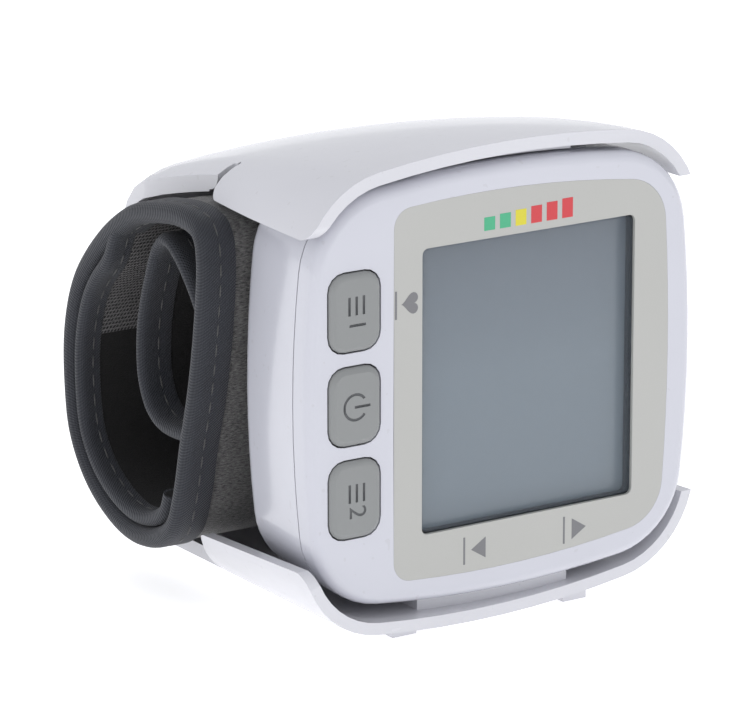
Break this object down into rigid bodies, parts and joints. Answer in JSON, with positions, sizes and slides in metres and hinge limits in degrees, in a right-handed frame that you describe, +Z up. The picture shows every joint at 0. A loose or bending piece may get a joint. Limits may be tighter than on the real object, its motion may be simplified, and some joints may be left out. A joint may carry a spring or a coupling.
{
  "type": "wrist blood pressure monitor",
  "caption": "Square white wrist blood pressure monitor with large display, three side buttons and a rolled fabric cuff, held in a U-shaped open-fronted white storage shell.",
  "frame": {"origin": "middle of the underside, on the plane that the feet stand on", "axes": "+X to the right of the display, +Y from the display to the back, +Z up"},
  "size_m": [0.0788, 0.0696, 0.0769],
  "materials": {
    "shell_white": "smooth moulded white plastic, soft gloss",
    "casing_white": "polished white plastic",
    "panel_grey": "satin warm grey printed plastic",
    "button_grey": "satin grey plastic",
    "display_glass": "blue-grey liquid crystal display",
    "clear_lens": "clear window",
    "dark_frame": "dark display surround",
    "board_green": "lacquered circuit board",
    "black_plastic": "black moulded plastic",
    "steel": "plated steel",
    "contact_metal": "plated spring contact",
    "clear_rubber": "translucent soft rubber",
    "cell_metal": "wrapped metal cell",
    "cuff_cloth": "charcoal brushed nylon",
    "loop_pile": "black loop pile",
    "binding_tape": "charcoal twill tape"
  },
  "bodies": {
    "shell": {"storage_shell": "shell_white"},
    "monitor": {"front_housing": "casing_white", "rear_housing": "casing_white", "face_panel": "panel_grey", "display_lens": "clear_lens", "lcd_frame": "dark_frame", "lcd_glass": "display_glass", "lcd_connector": "clear_rubber", "main_board": "board_green", "switch_1": "black_plastic", "switch_2": "black_plastic", "switch_3": "black_plastic", "case_screw_1": "steel", "case_screw_2": "steel", "case_screw_3": "steel", "case_screw_4": "steel", "battery_1": "cell_metal", "battery_2": "cell_metal", "battery_contact_top": "contact_metal", "battery_contact_bottom": "contact_metal", "pump_motor": "steel", "pump_head": "black_plastic", "deflation_valve": "black_plastic", "pressure_sensor": "black_plastic", "air_pipe": "clear_rubber", "cuff_nipple": "black_plastic", "cuff_outer_fabric": "cuff_cloth", "cuff_lining": "loop_pile", "cuff_bladder": "clear_rubber", "cuff_retainer": "black_plastic", "cuff_binding_near": "binding_tape", "cuff_binding_far": "binding_tape", "cuff_inner_wrap": "cuff_cloth", "cuff_tail": "cuff_cloth"},
    "memory_button_1": {"memory_button_1": "button_grey"},
    "power_button": {"power_button": "button_grey"},
    "memory_button_2": {"memory_button_2": "button_grey"},
    "battery_door": {"battery_cover": "casing_white"}
  },
  "joints": [
    {"name": "monitor_slide", "type": "slide", "parent": "shell", "child": "monitor", "axis": [0, -1, 0], "range_m": [0, 0.07], "deforming": ["cuff_outer_fabric", "cuff_lining", "cuff_binding_near", "cuff_inner_wrap"]},
    {"name": "memory_button_1_press", "type": "slide", "parent": "monitor", "child": "memory_button_1", "axis": [0, 1, 0], "range_m": [0, 0.0006], "stiffness_N_per_m": 1200, "springref_m": -0.0002},
    {"name": "power_button_press", "type": "slide", "parent": "monitor", "child": "power_button", "axis": [0, 1, 0], "range_m": [0, 0.0006], "stiffness_N_per_m": 1200, "springref_m": -0.0002},
    {"name": "memory_button_2_press", "type": "slide", "parent": "monitor", "child": "memory_button_2", "axis": [0, 1, 0], "range_m": [0, 0.0006], "stiffness_N_per_m": 1200, "springref_m": -0.0002},
    {"name": "battery_door_slide", "type": "slide", "parent": "monitor", "child": "battery_door", "axis": [1, 0, 0], "range_m": [0, 0.03]}
  ]
}
